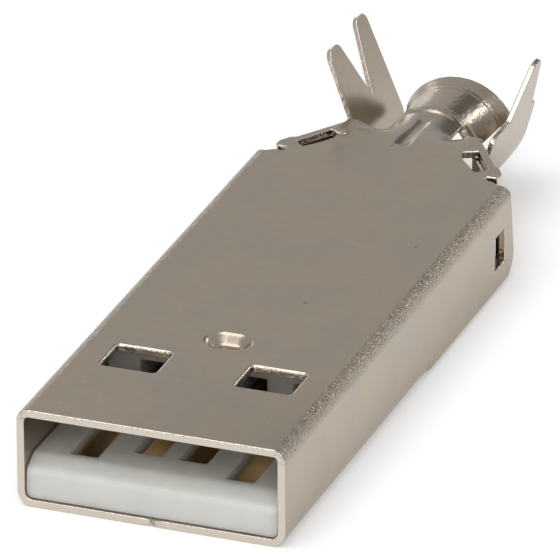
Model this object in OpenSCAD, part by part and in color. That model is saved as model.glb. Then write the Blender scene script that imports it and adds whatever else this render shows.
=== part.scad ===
// USB-A plug, solder type with a folded cable clamp.
// Millimetres. X runs across the plug, Y from the mouth to the cable end, Z up.
// The origin is the centre of the mouth: it plugs in towards -Y.

/* [Shell] */
// Width over the shell
shell_w = 12.0; // [11.5:0.05:12.5]
// Height over the shell
shell_h = 4.5; // [4.3:0.05:4.8]
// Thickness of the folded sheet
sheet_t = 0.35; // [0.2:0.01:0.45]
// Length of the closed tube behind the mouth
tube_l = 17.3; // [14:0.1:20]
// Outside radius of the two top bends
bend_top_r = 0.55; // [0.4:0.05:1.0]
// Outside radius of the two bottom bends
bend_low_r = 0.7; // [0.4:0.05:1.0]
// Width of the butt seam along the bottom
seam_w = 0.06; // [0.03:0.01:0.2]

/* [Latch holes] */
// Width of each latch hole
hole_w = 2.5; // [2.2:0.05:2.8]
// Length of each latch hole along the plug
hole_l = 2.1; // [1.9:0.05:2.3]
// Distance of a hole centre from the middle of the plug
hole_x = 3.04; // [2.8:0.02:3.3]
// Distance from the mouth to the front edge of a hole
hole_y = 5.2; // [5:0.05:5.4]

/* [Stop dimple] */
// Width of the pressed stop behind the latch holes
dimple_w = 2.2; // [1.5:0.05:2.6]
// Length of the pressed stop along the plug
dimple_l = 1.7; // [1:0.05:1.8]
// Position of the middle of the stop behind the mouth
dimple_y = 9.15; // [8.6:0.05:9.2]
// Depth of the stop below the top face
dimple_d = 0.55; // [0.3:0.05:0.8]

/* [Rear channel] */
// End of the side walls along their lower edge
wall_end_low = 28.65; // [27:0.05:30]
// End of the side walls along their upper edge
wall_end_top = 28.1; // [27:0.05:30]
// Gap left between the side walls and the underside plane
wall_lift = 0.22; // [0.05:0.01:0.4]
// Front edge of the side windows
lance_y = 25.95; // [24:0.05:26.5]
// Length of the side windows
lance_l = 1.45; // [1:0.05:1.8]
// Height of the side windows
lance_h = 1.55; // [1:0.05:2]
// Height of the middle of the side windows
lance_z = -0.28; // [-0.6:0.02:0.2]
// Angle the cut tongues are bent inwards
lance_angle = 24; // [10:1:35]

/* [Tapered rear plate] */
// Inset of the plate ears from the side of the shell
ear_inset = 0.76; // [0.5:0.02:1]
// Front edge of the plate ears
ear_y = 28.58; // [28.4:0.02:29]
// Y where the tapered sides start
taper_y0 = 29.1; // [28.9:0.05:29.5]
// Rear edge of the plate
plate_end = 32.35; // [31.5:0.05:33]
// Half width at the rear edge of the plate
plate_end_x = 3.13; // [3:0.02:3.5]
// Height of the folded flanges below the top face
flange_h = 1.9; // [0.8:0.05:2.5]
// Front end of the flanges along the tapered side
flange_s0 = 1.0; // [0.6:0.05:1.5]
// Rear end of the flanges along the tapered side
flange_s1 = 3.45; // [2.8:0.05:3.8]
// Width of the relief slits behind the side walls
slit_w = 0.4; // [0.2:0.02:0.6]
// Length of the relief slits from the ears inwards
slit_l = 0.59; // [0.3:0.01:1]
// Half width of the plate where the neck leaves it
neck_x = 1.5; // [1.2:0.05:1.8]

/* [Neck and collar] */
// Radius of the arched neck
neck_r = 2.9; // [2.2:0.05:4]
// Drop of the neck crown below the top face
neck_drop = 0.12; // [0:0.01:0.3]
// Length of the flat crown behind the plate
neck_lap = 0.6; // [0.2:0.05:1]
// Half width of the groove pressed along the neck
groove_x = 0.38; // [0.2:0.02:0.5]
// Depth of the groove pressed along the neck
groove_d = 0.1; // [0.04:0.01:0.15]
// Front end of the groove
groove_y0 = 30.2; // [29.5:0.05:31]
// Rear end of the groove
groove_y1 = 34.0; // [33:0.05:34.4]
// Front end of the collar
collar_y = 34.5; // [34:0.05:35]
// Rear end of the bell mouth
collar_end = 38.24; // [37:0.02:39]
// Outside radius at the front of the collar
collar_r = 2.01; // [1.8:0.01:2.4]
// Widening of the collar radius per millimetre
collar_flare = 0.12; // [0:0.01:0.2]
// Distance along the collar axis where the bell mouth starts
bell_start = 2.42; // [1.5:0.02:3]
// Widening of the bell mouth radius per millimetre
bell_flare = 0.39; // [0:0.01:0.6]
// Downward tilt of the collar axis
collar_tilt = 10; // [0:0.5:14]
// Height of the free lower edges of the collar
collar_edge_z = 0.47; // [0:0.01:1.2]

/* [Clamp tray] */
// Thickness of the tray sheet
tray_t = 0.25; // [0.2:0.01:0.4]
// Underside of the tray above the underside of the shell
tray_lift = 0.1; // [0:0.01:0.2]
// Height of the tray side walls
tray_wall_h = 3.2; // [2:0.05:3.9]
// Front of the tray floor behind the closed tube
tray_front_gap = 0.04; // [0.02:0.01:0.2]
// Setback of the tray side walls behind the front of the floor
tray_wall_y = 0.5; // [0.2:0.05:1]
// Distance of the rear end of the tray side walls before the ears
tray_wall_end = 0.38; // [0.2:0.02:1]
// Side clearance of the tray inside the channel
tray_gap = 0.03; // [0:0.01:0.1]
// Rear end of the slanted tray walls
slant_end = 31.75; // [31:0.05:32.1]
// Outside radius of the round trough
trough_r = 2.95; // [2.5:0.05:3.2]
// Half width of the flat along the trough
trough_flat = 0.25; // [0.1:0.05:0.8]
// Half width of the trough where the wings start
trough_x = 3.1; // [2.9:0.02:3.3]
// Rear end of the trough floor
trough_end = 37.5; // [36:0.05:38]

/* [Crimp wings] */
// Front edge of the forked wing
fork_y0 = 33.6; // [33:0.05:35]
// Rear edge of the forked wing
fork_y1 = 38.75; // [37:0.05:40]
// Outward lean of the forked wing
fork_lean = 20; // [5:1:35]
// Slant height of the front fork tip
fork_tip0 = 4.9; // [3:0.05:6]
// Slant height of the rear fork tip
fork_tip1 = 5.02; // [3:0.05:6]
// Slant height of the bottom of the V notch
fork_notch = 1.78; // [1:0.05:3]
// Width of the fork tips
fork_tip_w = 1.15; // [0.8:0.05:1.5]
// Front edge of the single wing
wing_y0 = 32.5; // [32.4:0.05:34]
// Rear edge of the single wing
wing_y1 = 38.4; // [37:0.05:40]
// Outward lean of the single wing
wing_lean = 16; // [5:1:35]
// Slant height of the single prong
prong_tip = 4.55; // [3:0.05:6]
// Slant height of the front shoulder
shoulder_front = 2.2; // [1:0.05:3]
// Slant height of the rear shoulder
shoulder_rear = 1.75; // [1:0.05:3]
// Front edge of the prong at its root
prong_y0 = 34.55; // [33:0.05:36]
// Rear edge of the prong at its root
prong_y1 = 37.7; // [36:0.05:39]
// Width of the prong tip
prong_tip_w = 0.95; // [0.6:0.05:1.5]
// Distance of the prong tip from its root front edge
prong_tip_y = 1.9; // [1:0.05:2.5]

/* [Insulator] */
// Thickness of the contact tongue
tongue_t = 1.8; // [1.6:0.05:1.95]
// Length of the rounded lead-in of the tongue
lead_in = 0.8; // [0.2:0.05:1.2]
// Setback of the tongue from the mouth
tongue_y = 0.1; // [0:0.05:0.5]
// Front face of the rear block
block_y = 9.4; // [9:0.05:11]
// Rear face of the rear block
block_end = 16.6; // [14:0.1:17]
// Rear end of the solder ledge
ledge_end = 20.8; // [18:0.1:23]
// Clearance of the solder ledge beside the tray walls
ledge_gap = 0.06; // [0.02:0.01:0.2]
// Width of the ribs between the solder tails
rib_w = 0.4; // [0.2:0.05:0.6]
// Height of the ribs above the solder tails
rib_h = 0.45; // [0.1:0.05:0.8]
// Side and top clearance of the insulator
insulator_gap = 0.04; // [0.02:0.01:0.1]
// Clearance of the block around the pressed stop
stop_gap = 0.1; // [0.05:0.01:0.3]

/* [Contacts] */
// Width of the contact blades
contact_w = 1.0; // [0.8:0.05:1.1]
// Thickness of the contact strip
contact_t = 0.25; // [0.15:0.01:0.3]
// Depth of the contact faces below the tongue
contact_sink = 0.32; // [0.05:0.01:0.4]
// Distance of the outer contacts from the middle
outer_x = 3.5; // [3.3:0.05:3.7]
// Distance of the inner contacts from the middle
inner_x = 1.0; // [0.9:0.05:1.2]
// Front of the outer contact slots
outer_y = 1.3; // [1:0.05:1.5]
// Front of the inner contact slots
inner_y = 2.3; // [2:0.05:2.6]
// Slot clearance on each side of a contact
slot_gap = 0.14; // [0.03:0.01:0.2]
// Height of the slot mouths in the block above the tongue
mouth_h = 0.67; // [0.2:0.01:1.2]
// Depth of the slot mouths into the block
mouth_l = 3.0; // [0.5:0.1:5]
// Clearance around a contact inside the block
tunnel_gap = 0.02; // [0:0.01:0.05]
// How far the contact tips turn down into their slots
tip_drop = 0.28; // [0.1:0.02:0.4]
// Width of the solder tails
tail_w = 0.8; // [0.5:0.05:1]
// Rear end of the solder tails
tail_end = 20.5; // [18:0.1:22]

/* [Hidden] */
$fn = 48;

eps = 0.01;
top_z = shell_h / 2;
in_x = shell_w / 2 - sheet_t;
in_z = top_z - sheet_t;
tray_z = -top_z + tray_lift;
tray_x = in_x - tray_gap;
tray_y = tube_l + tray_front_gap;
wall_front = tray_y + tray_wall_y;
wall_rear = ear_y - tray_wall_end;
tongue_top = -in_z + tongue_t;
contact_top = tongue_top - contact_sink;
contact_low = contact_top - contact_t;
blade_end = block_end - 0.5;
slot_w = contact_w + 2 * slot_gap;
ear_x = shell_w / 2 - ear_inset;
taper_u = [plate_end_x - ear_x, plate_end - taper_y0]
          / norm([plate_end_x - ear_x, plate_end - taper_y0]);
taper_in = [-taper_u[1], taper_u[0]];
// Corners of the bend windows, along the tapered side and inwards from it
window_outline = [[2.55, 0.46], [0.61, 0.51], [0.43, 1.14], [1.88, 1.33], [2.66, 1.2]];
// Slanted tray walls stand just inside the flanges
wall_d0 = sheet_t + tray_gap;
wall_d1 = wall_d0 + tray_t;
slant_s1 = (slant_end - taper_y0) / taper_u[1];
trough_mid = tray_z + trough_r;
body_x = in_x - insulator_gap;
ledge_x = tray_x - tray_t - ledge_gap;
ledge_z = tray_z + tray_t;
slots = [[-outer_x, outer_y], [-inner_x, inner_y], [inner_x, inner_y], [outer_x, outer_y]];
nickel = [0.68, 0.66, 0.62];
ivory = [0.86, 0.86, 0.83];
gold = [0.80, 0.62, 0.28];

// Sweeps of a flat outline along the three axes
module along_x(x0, x1) { translate([x0, 0, 0]) rotate([90, 0, 90]) linear_extrude(x1 - x0) children(); }
module along_y(y0, y1) { translate([0, y1, 0]) rotate([90, 0, 0]) linear_extrude(y1 - y0) children(); }
module along_z(z0, z1) { translate([0, 0, z0]) linear_extrude(z1 - z0) children(); }
module both() { children(); mirror([1, 0, 0]) children(); }

// Outline with true round corners: radius > 0 outside corner, < 0 inside corner
function unit(v) = v / norm(v);
function at(p, i) = p[(i + len(p)) % len(p)];
function half_angle(p, i) =
    let (a = unit(at(p, i - 1) - p[i]), b = unit(at(p, i + 1) - p[i])) acos(a * b) / 2;
function tangent(p, i, r, s) =
    let (d = unit(at(p, i + s) - p[i])) p[i] + d * abs(r) / tan(half_angle(p, i));
function corner_mid(p, i, r) =
    let (a = unit(at(p, i - 1) - p[i]), b = unit(at(p, i + 1) - p[i]))
    p[i] + unit(a + b) * abs(r) / sin(half_angle(p, i));

module rounded(p, r) {
    difference() {
        union() {
            polygon([for (i = [0:len(p) - 1])
                     each (r[i] == 0 ? [p[i]] : [tangent(p, i, r[i], -1), tangent(p, i, r[i], 1)])]);
            for (i = [0:len(p) - 1])
                if (r[i] > 0) translate(corner_mid(p, i, r[i])) circle(r[i]);
        }
        for (i = [0:len(p) - 1])
            if (r[i] < 0) translate(corner_mid(p, i, r[i])) circle(-r[i]);
    }
}

module box_outline(w, z0, z1, r_low, r_top) {
    rounded([[-w / 2, z0], [w / 2, z0], [w / 2, z1], [-w / 2, z1]], [r_low, r_low, r_top, r_top]);
}

// ---- outer shell: one folded sheet ----

module shell_bore() {
    box_outline(2 * in_x, -in_z, in_z, max(bend_low_r - sheet_t, 0.1), max(bend_top_r - sheet_t, 0.1));
}

module closed_tube() {
    along_y(0, tube_l) difference() {
        box_outline(shell_w, -top_z, top_z, bend_low_r, bend_top_r);
        shell_bore();
        translate([-seam_w / 2, -top_z - eps]) square([seam_w, sheet_t + 2 * eps]);
    }
}

// Side view of the channel walls, with their rounded rear corners
module wall_outline() {
    rounded([[tube_l - eps, -top_z + wall_lift], [wall_end_low, -top_z + wall_lift],
             [wall_end_top, top_z], [tube_l - eps, top_z]], [0, 1.0, 0.75, 0]);
}

module open_channel() {
    intersection() {
        along_y(tube_l - eps, wall_end_low + 1) difference() {
            box_outline(shell_w, -top_z - 1, top_z, 0, bend_top_r);
            box_outline(2 * in_x, -top_z - 2, in_z, 0, max(bend_top_r - sheet_t, 0.1));
        }
        along_x(-shell_w / 2, shell_w / 2) wall_outline();
    }
}

// Tapered plate with a relief slit behind each side wall
module rear_plate() {
    slit_y = ear_y - slit_w;
    half = [[0, slit_y - 1], [ear_x, slit_y - 1], [ear_x, slit_y], [ear_x - slit_l, slit_y],
            [ear_x - slit_l, ear_y], [ear_x, ear_y], [ear_x, taper_y0], [plate_end_x, plate_end],
            [neck_x, plate_end], [neck_x, plate_end + neck_lap], [0, plate_end + neck_lap]];
    along_z(in_z, top_z) both()
        rounded(half, [0, 0, 0.15, -0.12, -0.12, 0.15, 0.7, 0.3, -0.3, 0, 0]);
}

// Point s along the tapered side and d inwards from it, and a strip between two such points
function strip_at(s, d) = [ear_x, taper_y0] + taper_u * s + taper_in * d;
module taper_strip(d0, d1, s0, s1) {
    polygon([strip_at(s0, d0), strip_at(s1, d0), strip_at(s1, d1), strip_at(s0, d1)]);
}

module taper_flanges() {
    along_z(top_z - flange_h, in_z + eps) both() taper_strip(0, sheet_t, flange_s0, flange_s1);
}

module bend_windows() {
    along_z(in_z - eps, top_z + eps) both()
        polygon([for (p = window_outline) strip_at(p[0], p[1])]);
}

// Oblong stop pressed down into the tube
module dimple_solid(grow, z0, z1) {
    r = dimple_l / 2 + grow;
    span = dimple_w / 2 - dimple_l / 2;
    translate([0, dimple_y, 0]) {
        for (s = [-1, 1]) translate([s * span, 0, z0]) cylinder(r = r, h = z1 - z0);
        translate([-span, -r, z0]) cube([2 * span, 2 * r, z1 - z0]);
    }
}

module neck() {
    mid = top_z - neck_drop - neck_r;
    along_y(groove_y0 - 0.2, collar_y + 0.5) difference() {
        intersection() {
            translate([0, mid]) circle(neck_r);
            translate([-neck_x, 0]) square([2 * neck_x, top_z]);
        }
        translate([0, mid]) circle(neck_r - sheet_t);
    }
}

// Round collar and bell mouth about one tilted axis
module collar_cones(inset) {
    r1 = collar_r + collar_flare * bell_start;
    over = 0.6;
    tail = 2;
    translate([0, collar_y, top_z - collar_r]) rotate([-90 - collar_tilt, 0, 0]) {
        translate([0, 0, -over])
            cylinder(r1 = collar_r - collar_flare * over - inset, r2 = r1 - inset, h = over + bell_start);
        translate([0, 0, bell_start - eps])
            cylinder(r1 = r1 - inset, r2 = r1 + bell_flare * tail - inset, h = tail);
    }
}

// Upper part of the cones between two upright cuts
module collar() {
    difference() {
        intersection() {
            collar_cones(0);
            translate([-shell_w / 2, collar_y, collar_edge_z]) cube([shell_w, collar_end - collar_y, shell_h]);
        }
        collar_cones(sheet_t);
    }
}

// Tongue cut from the side wall and bent in
module lance() {
    translate([shell_w / 2, lance_y, lance_z]) rotate([0, 0, lance_angle])
        translate([-sheet_t, -0.12, -lance_h / 2 + 0.08]) cube([sheet_t, lance_l - 0.1, lance_h - 0.16]);
}

module outer_shell() {
    color(nickel) difference() {
        union() {
            closed_tube();
            open_channel();
            rear_plate();
            taper_flanges();
            neck();
            collar();
            dimple_solid(sheet_t / 2, in_z - dimple_d, in_z + eps);
            intersection() {
                both() lance();
                cube([shell_w, 4 * lance_y, shell_h], center = true);
            }
        }
        for (s = [-1, 1], z = [-top_z - eps, in_z - 0.2])
            translate([s * hole_x - hole_w / 2, hole_y, z]) cube([hole_w, hole_l, sheet_t + 0.2 + eps]);
        both() difference() {
            translate([in_x - eps, lance_y, lance_z - lance_h / 2]) cube([sheet_t + 1, lance_l, lance_h]);
            lance();
        }
        bend_windows();
        dimple_solid(0, top_z - dimple_d, top_z + eps);
        along_y(groove_y0, groove_y1) translate([-groove_x, top_z - neck_drop - groove_d]) square([2 * groove_x, 1]);
    }
}

// ---- clamp tray: second folded sheet inside the channel ----

module tray_floor() {
    a = strip_at(0.1, wall_d0);
    b = strip_at(flange_s1 + 0.05, wall_d0);
    half = [[0, tray_y], [tray_x, tray_y], [tray_x, wall_rear], a, b, [b[0], wing_y0 + 0.1], [0, wing_y0 + 0.1]];
    along_z(tray_z, tray_z + tray_t) both() polygon(half);
}

module tray_walls() {
    z1 = tray_z + tray_wall_h;
    both() {
        along_x(tray_x - tray_t, tray_x)
            rounded([[wall_front, tray_z], [wall_rear, tray_z], [wall_rear, z1], [wall_front, z1]], [0, 0, 0.4, 0.4]);
        along_z(tray_z, in_z - 0.06) taper_strip(wall_d0, wall_d1, 0.1, slant_s1);
    }
}

// Openings that take the bent tongues of the shell
module lance_openings() {
    both() translate([tray_x - tray_t - eps, lance_y - 0.1, lance_z - lance_h / 2 - 0.1])
        cube([tray_t + 2 * eps, lance_l + 0.5, lance_h + 0.2]);
}

module trough_section(r) {
    for (s = [-1, 1]) translate([s * trough_flat, trough_mid]) circle(r);
    translate([-trough_flat, trough_mid - r]) square([2 * trough_flat, r]);
}

module trough() {
    difference() {
        along_y(wing_y0 - 0.03, fork_y1) intersection() {
            difference() {
                trough_section(trough_r);
                trough_section(trough_r - tray_t);
            }
            translate([-shell_w / 2, tray_z]) square([shell_w, -tray_z]);
        }
        // the rear edge runs forward towards the floor
        along_x(-shell_w / 2, shell_w / 2) polygon([[trough_end, tray_z - 1], [trough_end, tray_z + 0.35],
                                [wing_y1, -0.2], [wing_y1, eps], [fork_y1 + 1, eps], [fork_y1 + 1, tray_z - 1]]);
    }
}

module fork_outline() {
    mid = (fork_y0 + fork_y1) / 2;
    rounded([[fork_y0, -0.3], [fork_y0, fork_tip0], [fork_y0 + fork_tip_w + 0.05, fork_tip0],
             [mid + 0.08, fork_notch], [mid + 0.16, fork_notch],
             [fork_y1 - 0.45 - fork_tip_w, fork_tip1], [fork_y1 - 0.45, fork_tip1],
             [fork_y1, -0.3]],
            [0, 0.5, 0.52, 0, 0, 0.46, 0.5, 0]);
}

module prong_outline() {
    t0 = prong_y0 + prong_tip_y - prong_tip_w / 2;
    rounded([[wing_y0, -0.3], [wing_y0, shoulder_front], [prong_y0, shoulder_front],
             [t0, prong_tip], [t0 + prong_tip_w, prong_tip], [prong_y1, shoulder_rear + 0.4],
             [prong_y1, shoulder_rear], [wing_y1, shoulder_rear], [wing_y1, -0.3]],
            [0, 0.15, -0.1, 0.4, 0.4, 0, -0.1, 0.25, 0]);
}

// Plate leaning outwards from the top of the trough wall
module wing(lean) {
    translate([trough_x, 0, 0]) rotate([0, lean, 0]) along_x(-tray_t, 0) children();
}

module clamp_tray() {
    color(nickel) {
        difference() {
            union() {
                tray_floor();
                tray_walls();
                trough();
            }
            lance_openings();
        }
        mirror([1, 0, 0]) wing(fork_lean) fork_outline();
        wing(wing_lean) prong_outline();
    }
}

// ---- insulator ----

module insulator_body() {
    intersection() {
        along_x(-body_x, body_x)
            rounded([[tongue_y, -in_z], [block_y + 1, -in_z], [block_y + 1, tongue_top],
                     [tongue_y + lead_in, tongue_top], [tongue_y, tongue_top - 0.45]],
                    [0.12, 0, 0, 0.6, 0.35]);
        along_y(0, block_end) box_outline(2 * body_x, -in_z, in_z, bend_low_r - sheet_t, 0);
    }
    along_y(block_y, block_end)
        box_outline(2 * body_x, -in_z, in_z - insulator_gap, bend_low_r - sheet_t, bend_top_r - sheet_t);
    translate([-ledge_x, block_end - 1, ledge_z])
        cube([2 * ledge_x, ledge_end - block_end + 1, contact_low - ledge_z]);
    // ribs between and beside the solder tails
    rib_x = ledge_x - rib_w / 2;
    mid_x = (outer_x + inner_x) / 2;
    for (x = [-rib_x, -mid_x, 0, mid_x, rib_x])
        translate([x - rib_w / 2, block_end - 1, ledge_z])
            cube([rib_w, ledge_end - block_end + 0.5, contact_top + rib_h - ledge_z]);
}

// Pocket in the block that the pressed stop of the shell drops into
module stop_pocket() {
    reach = sheet_t / 2 + stop_gap;
    translate([-dimple_w / 2 - reach, block_y - eps, in_z - dimple_d - stop_gap])
        cube([dimple_w + 2 * reach, dimple_y + dimple_l / 2 + reach - block_y, 2]);
}

module insulator() {
    color(ivory) difference() {
        insulator_body();
        stop_pocket();
        for (c = slots) {
            translate([c[0] - slot_w / 2, c[1], contact_low]) cube([slot_w, block_y - c[1], 3]);
            translate([c[0] - slot_w / 2, block_y - eps, contact_low])
                cube([slot_w, mouth_l, tongue_top + mouth_h - contact_low]);
            translate([c[0] - slot_w / 2, c[1], contact_low - tip_drop - 0.04])
                cube([slot_w, 0.75, 3]);
            translate([c[0] - contact_w / 2 - tunnel_gap, c[1], contact_low])
                cube([contact_w + 2 * tunnel_gap, block_end - c[1] + eps, contact_t + tunnel_gap]);
        }
    }
}

// ---- contacts ----

// Side view of a blade whose tip turns down at the front
module blade_outline(y0) {
    f = y0 + 0.1;
    rounded([[f, contact_low - tip_drop], [f + 0.25, contact_low - tip_drop], [f + 0.42, contact_low],
             [blade_end, contact_low], [blade_end, contact_top],
             [f + 0.22, contact_top], [f, contact_top - 0.22]],
            [0.08, 0.08, -0.1, 0, 0, 0.2, 0.1]);
}

module contact(x, y0) {
    color(gold) {
        along_x(x - contact_w / 2, x + contact_w / 2) blade_outline(y0);
        translate([x - tail_w / 2, blade_end - 0.1, contact_low])
            cube([tail_w, tail_end - blade_end + 0.1, contact_t]);
    }
}

module contact_vbus() { contact(outer_x, outer_y); }
module contact_dminus() { contact(inner_x, inner_y); }
module contact_dplus() { contact(-inner_x, inner_y); }
module contact_gnd() { contact(-outer_x, outer_y); }

outer_shell();
clamp_tray();
insulator();
contact_vbus();
contact_dminus();
contact_dplus();
contact_gnd();
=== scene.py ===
import math
import bmesh
import bpy
import numpy as np
from mathutils import Matrix, Vector, geometry


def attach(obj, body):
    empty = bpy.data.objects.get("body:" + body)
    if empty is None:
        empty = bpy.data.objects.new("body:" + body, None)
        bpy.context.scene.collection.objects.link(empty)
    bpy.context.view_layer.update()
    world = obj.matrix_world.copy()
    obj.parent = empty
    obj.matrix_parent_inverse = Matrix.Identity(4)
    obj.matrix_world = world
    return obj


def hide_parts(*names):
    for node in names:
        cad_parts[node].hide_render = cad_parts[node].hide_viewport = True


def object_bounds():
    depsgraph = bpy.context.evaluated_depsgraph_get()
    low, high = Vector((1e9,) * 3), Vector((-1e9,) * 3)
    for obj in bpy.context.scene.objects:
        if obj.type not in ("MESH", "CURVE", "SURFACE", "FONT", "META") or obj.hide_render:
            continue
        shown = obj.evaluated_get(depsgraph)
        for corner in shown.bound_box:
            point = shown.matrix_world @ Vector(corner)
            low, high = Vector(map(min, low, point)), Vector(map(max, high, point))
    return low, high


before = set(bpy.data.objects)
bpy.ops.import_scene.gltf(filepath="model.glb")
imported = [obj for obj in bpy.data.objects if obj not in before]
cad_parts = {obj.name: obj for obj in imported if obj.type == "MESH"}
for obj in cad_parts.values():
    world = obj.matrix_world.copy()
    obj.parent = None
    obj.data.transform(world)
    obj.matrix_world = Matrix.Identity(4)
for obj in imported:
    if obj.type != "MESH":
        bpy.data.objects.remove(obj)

# USB-A plug of the solder type. Lengths are in millimetres and turn into metres where a mesh is made.
# X runs across the plug, Y from the mouth to the cable end, Z up. The origin is the middle of the mouth.
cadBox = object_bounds()
mm = 0.001
quarter = math.pi / 2
scene = bpy.context.scene

# How finely flat blanks are cut and meshed.
blank = {
    "cornerSteps": 6, "leastCut": 0.025, "leastEnd": 0.02, "longest": 0.5,
    "lineGap": 0.02, "pointGap": 0.03, "edgeGap": 0.035, "probe": 0.004, "zoneInset": 0.03,
    "rimAngles": (60, 30, 0, 0, -30, -60),
}


def roundCorners(corners):
    # corners are (s, y, radius), and a corner without a radius stays sharp
    out = []
    n = len(corners)
    for i in range(n):
        p = np.array(corners[i][:2], float)
        r = corners[i][2] if len(corners[i]) > 2 else 0.0
        if r == 0:
            out.append(p)
            continue
        a = np.array(corners[i - 1][:2], float) - p
        b = np.array(corners[(i + 1) % n][:2], float) - p
        la, lb = np.linalg.norm(a), np.linalg.norm(b)
        a, b = a / la, b / lb
        half = math.acos(max(-1.0, min(1.0, float(a @ b)))) / 2
        reach = min(r / math.tan(half), 0.49 * la, 0.49 * lb)
        r = reach * math.tan(half)
        middle = p + (a + b) / np.linalg.norm(a + b) * r / math.sin(half)
        start, end = p + a * reach - middle, p + b * reach - middle
        turn = math.atan2(start[0] * end[1] - start[1] * end[0], float(start @ end))
        for k in range(blank["cornerSteps"] + 1):
            angle = turn * k / blank["cornerSteps"]
            c, s = math.cos(angle), math.sin(angle)
            out.append(middle + np.array([c * start[0] - s * start[1], s * start[0] + c * start[1]]))
    return np.array(out)


def splitLoop(loop, linesS, linesY):
    # adds points where the outline crosses the grid lines, and on long stretches
    out = []
    for i in range(len(loop)):
        a, b = loop[i], loop[(i + 1) % len(loop)]
        cuts = set()
        for axis, lines in ((0, linesS), (1, linesY)):
            span = b[axis] - a[axis]
            if abs(span) > 1e-6:
                cuts.update(t for t in (lines - a[axis]) / span if 0 < t < 1)
        length = np.linalg.norm(b - a)
        extra = int(length / blank["longest"])
        cuts.update(k / (extra + 1) for k in range(1, extra + 1))
        kept = [0.0]
        for t in sorted(cuts):
            if (t - kept[-1]) * length > blank["leastCut"] and (1 - t) * length > blank["leastEnd"]:
                kept.append(t)
        out += [a + (b - a) * t for t in kept]
    return np.array(out)


def outwards(loop):
    # the way off the material at each point, and how much longer it is at a corner
    ahead = np.roll(loop, -1, 0) - loop
    ahead /= np.linalg.norm(ahead, axis=1)[:, None]
    side = np.stack([ahead[:, 1], -ahead[:, 0]], 1)
    both = side + np.roll(side, 1, 0)
    both /= np.maximum(np.linalg.norm(both, axis=1), 1e-9)[:, None]
    stretch = 1 / np.clip((both * side).sum(1), 0.5, 1)
    return both, stretch


def area(loop):
    x, y = loop[:, 0], loop[:, 1]
    return 0.5 * float((x * np.roll(y, -1) - y * np.roll(x, -1)).sum())


def inBatches(points, size=4000):
    for start in range(0, len(points), size):
        yield slice(start, start + size)


def isInside(points, loops):
    inside = np.zeros(len(points), bool)
    for loop in loops:
        a, b = loop, np.roll(loop, -1, 0)
        rise = np.where(b[:, 1] == a[:, 1], 1e-12, b[:, 1] - a[:, 1])
        for part in inBatches(points):
            p = points[part]
            crosses = (a[None, :, 1] > p[:, None, 1]) != (b[None, :, 1] > p[:, None, 1])
            at = a[None, :, 0] + (p[:, None, 1] - a[None, :, 1]) / rise[None] * (b - a)[None, :, 0]
            inside[part] ^= (crosses & (p[:, None, 0] < at)).sum(1) % 2 == 1
    return inside


def isClear(points, loops, least):
    # true for the points that stay at least this far from every outline
    keep = np.ones(len(points), bool)
    for loop in loops:
        run = np.roll(loop, -1, 0) - loop
        for part in inBatches(points):
            p = points[part]
            t = ((p[:, None] - loop[None]) * run[None]).sum(2) / np.maximum((run * run).sum(1), 1e-12)[None]
            near = loop[None] + np.clip(t, 0, 1)[..., None] * run[None]
            keep[part] &= (np.linalg.norm(p[:, None] - near, axis=2) > least).all(1)
    return keep


def gridLines(*runs):
    # each run is (first, last, step), and near doubles are dropped
    values = []
    for a, b, step in runs:
        values += list(np.linspace(a, b, max(1, round(abs(b - a) / step)) + 1))
    values.sort()
    kept = [values[0]]
    for v in values[1:]:
        if v - kept[-1] > blank["lineGap"]:
            kept.append(v)
    return np.array(kept)


def mirrored(values):
    return np.array(sorted(set(np.round(np.concatenate([-values, values]), 5))))


def gridPoints(linesS, linesY, patches):
    points = []
    for s, y in [(linesS, linesY)] + patches:
        gs, gy = np.meshgrid(s, y)
        points.append(np.stack([gs.ravel(), gy.ravel()], 1))
    points = np.concatenate(points)
    _, first = np.unique(np.round(points / blank["pointGap"]), axis=0, return_index=True)
    return points[np.sort(first)]


def makeObject(name, points, faces, normals=None, cut=None):
    mesh = bpy.data.meshes.new(name)
    mesh.from_pydata([tuple(p * mm) for p in points], [], [tuple(int(i) for i in f) for f in faces])
    if cut is not None:
        mesh.attributes.new("cut", "FLOAT", "POINT").data.foreach_set("value", np.asarray(cut, np.float32))
    mesh.shade_smooth()
    if normals is not None:
        mesh.normals_split_custom_set_from_vertices([tuple(n) for n in normals])
    thing = bpy.data.objects.new(name, mesh)
    scene.collection.objects.link(thing)
    return thing


def makeTriangles(flat, loops):
    # joins the points of a blank inside its outlines, which come first among the points
    links, start = [], 0
    for loop in loops:
        n = len(loop)
        links += [(start + i, start + (i + 1) % n) for i in range(n)]
        start += n
    made = geometry.delaunay_2d_cdt([Vector(p) for p in flat], links, [], 0, 1e-7)
    points = np.array([tuple(v) for v in made[0]])
    tris = np.array([f for f in made[2] if len(f) == 3])
    tris = tris[isInside(points[tris].mean(1), loops)]
    a, b, c = points[tris[:, 0]], points[tris[:, 1]], points[tris[:, 2]]
    wrong = np.cross(b - a, c - a) < 0
    tris[wrong] = tris[wrong][:, ::-1]
    newIndex = {old: k for k, olds in enumerate(made[3]) for old in olds}
    return points, tris, newIndex


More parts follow.
